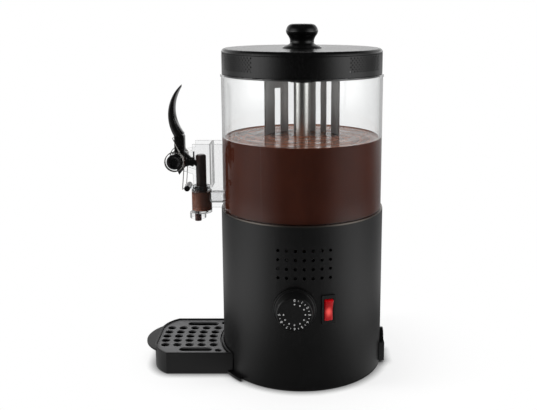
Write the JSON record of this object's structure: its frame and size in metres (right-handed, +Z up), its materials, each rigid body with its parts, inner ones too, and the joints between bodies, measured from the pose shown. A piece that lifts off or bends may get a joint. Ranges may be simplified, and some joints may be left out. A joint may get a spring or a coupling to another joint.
{
  "type": "hot chocolate dispenser",
  "caption": "Round heated drink dispenser with a clear tank and stirrer, black lift-off lid, spring-closed lever tap and slide-out drip tray.",
  "frame": {"origin": "the casing's vertical axis, on the surface that the machine stands on", "axes": "+Z up along the casing's axis; the tap and the drip tray point to -Y; the thermostat dial and the power switch face +X; the mains inlet is at +Y"},
  "size_m": [0.2404, 0.3338, 0.4664],
  "materials": {
    "casing_paint": "satin black powder coat",
    "black_rubber": "matt",
    "galvanised": "zinc plated sheet",
    "zinc_screw": "zinc plated",
    "motor_case": "grey paint",
    "stainless": "brushed",
    "bright_steel": "polished",
    "bronze": "bearing bronze",
    "cast_aluminium": "cast",
    "mineral_wool": "matt",
    "white_plastic": "matt",
    "black_plastic": "satin",
    "lid_plastic": "satin",
    "red_plastic": "translucent red",
    "clear_plastic": "clear",
    "grey_plastic": "satin",
    "brown_plastic": "satin",
    "tray_plastic": "satin"
  },
  "bodies": {
    "base": {"foot_ring": "black_rubber", "base_plate": "galvanised", "post_screws": "zinc_screw", "posts": "galvanised", "casing": "casing_paint", "tray_bracket": "casing_paint", "motor_bracket": "galvanised", "motor": "motor_case", "gearbox": "motor_case", "deck": "stainless", "deck_bush": "bronze", "trim_ring": "bright_steel", "heater_plate": "cast_aluminium", "heating_element": "bright_steel", "thermal_cutout": "white_plastic", "thermostat_bulb": "bronze", "insulation": "mineral_wool", "thermostat": "white_plastic", "dial_seat": "black_plastic", "switch_housing": "black_plastic", "inlet_housing": "black_plastic", "inlet_pins": "bright_steel", "terminal_block": "white_plastic"},
    "drive": {"output_stub": "bright_steel", "shaft_coupling": "bronze", "drive_shaft": "bright_steel"},
    "dial": {"thermostat_dial": "black_plastic", "dial_spindle": "bright_steel"},
    "rocker": {"power_rocker": "red_plastic"},
    "tank": {"tank_wall": "clear_plastic", "tank_floor": "stainless", "tank_seal": "white_plastic", "centre_tube": "stainless", "tube_bush": "white_plastic", "tap_guard": "clear_plastic", "tap_barrel": "clear_plastic", "barrel_cap": "grey_plastic", "cap_o_ring": "black_rubber", "spring_anchor": "black_plastic", "spout_skirt": "clear_plastic", "spout_nozzle": "brown_plastic", "tap_spring": "bright_steel"},
    "lever": {"tap_lever": "black_plastic", "lever_axle": "bright_steel", "axle_caps": "black_plastic", "link_pin": "zinc_screw"},
    "plunger": {"plunger": "brown_plastic", "plunger_seal": "white_plastic"},
    "lid": {"lid_wall": "lid_plastic", "lid_cap": "lid_plastic", "lid_seal": "white_plastic", "lid_knob": "black_plastic", "knob_screw": "zinc_screw"},
    "stirrer": {"stirrer_cage": "stainless", "stirrer_spider": "stainless", "stirrer_hub": "black_plastic", "stirrer_scraper": "stainless"},
    "tray": {"drip_tray": "tray_plastic"},
    "grille": {"drip_grille": "grey_plastic"}
  },
  "joints": [
    {"name": "tank_lift", "type": "slide", "parent": "base", "child": "tank", "axis": [0, 0, 1], "range_m": [0, 0.21]},
    {"name": "lid_lift", "type": "slide", "parent": "tank", "child": "lid", "axis": [0, 0, 1], "range_m": [0, 0.09]},
    {"name": "stirrer_spin", "type": "hinge", "parent": "tank", "child": "stirrer", "pos_m": [0, 0, 0.3], "axis": [0, 0, 1], "continuous": true},
    {"name": "drive_spin", "type": "hinge", "parent": "base", "child": "drive", "pos_m": [0, 0, 0.17], "axis": [0, 0, 1], "continuous": true},
    {"name": "tap_pull", "type": "hinge", "parent": "tank", "child": "lever", "pos_m": [0, -0.17, 0.2852], "axis": [1, 0, 0], "range_deg": [0, 25], "stiffness_Nm_per_rad": 1.2, "springref_deg": -20.05, "deforming": ["tap_spring"]},
    {"name": "plunger_rise", "type": "slide", "parent": "tank", "child": "plunger", "axis": [0, 0, 1], "range_m": [0, 0.0122]},
    {"name": "dial_turn", "type": "hinge", "parent": "base", "child": "dial", "pos_m": [0.12, -0.0093, 0.1133], "axis": [1, 0, 0], "range_deg": [0, 270]},
    {"name": "rocker_tip", "type": "hinge", "parent": "base", "child": "rocker", "pos_m": [0.10443, 0.03293, 0.1109], "axis": [-0.3007, 0.9537, 0], "range_deg": [-14, 0]},
    {"name": "tray_pull", "type": "slide", "parent": "base", "child": "tray", "axis": [0, -1, 0], "range_m": [0, 0.11]},
    {"name": "grille_lift", "type": "slide", "parent": "tray", "child": "grille", "axis": [0, 0, 1], "range_m": [0, 0.04]}
  ],
  "couplings": [
    {"joint": "plunger_rise", "follows": "tap_pull", "m_per_rad": 0.0272},
    {"joint": "drive_spin", "follows": "stirrer_spin", "ratio": 1}
  ]
}
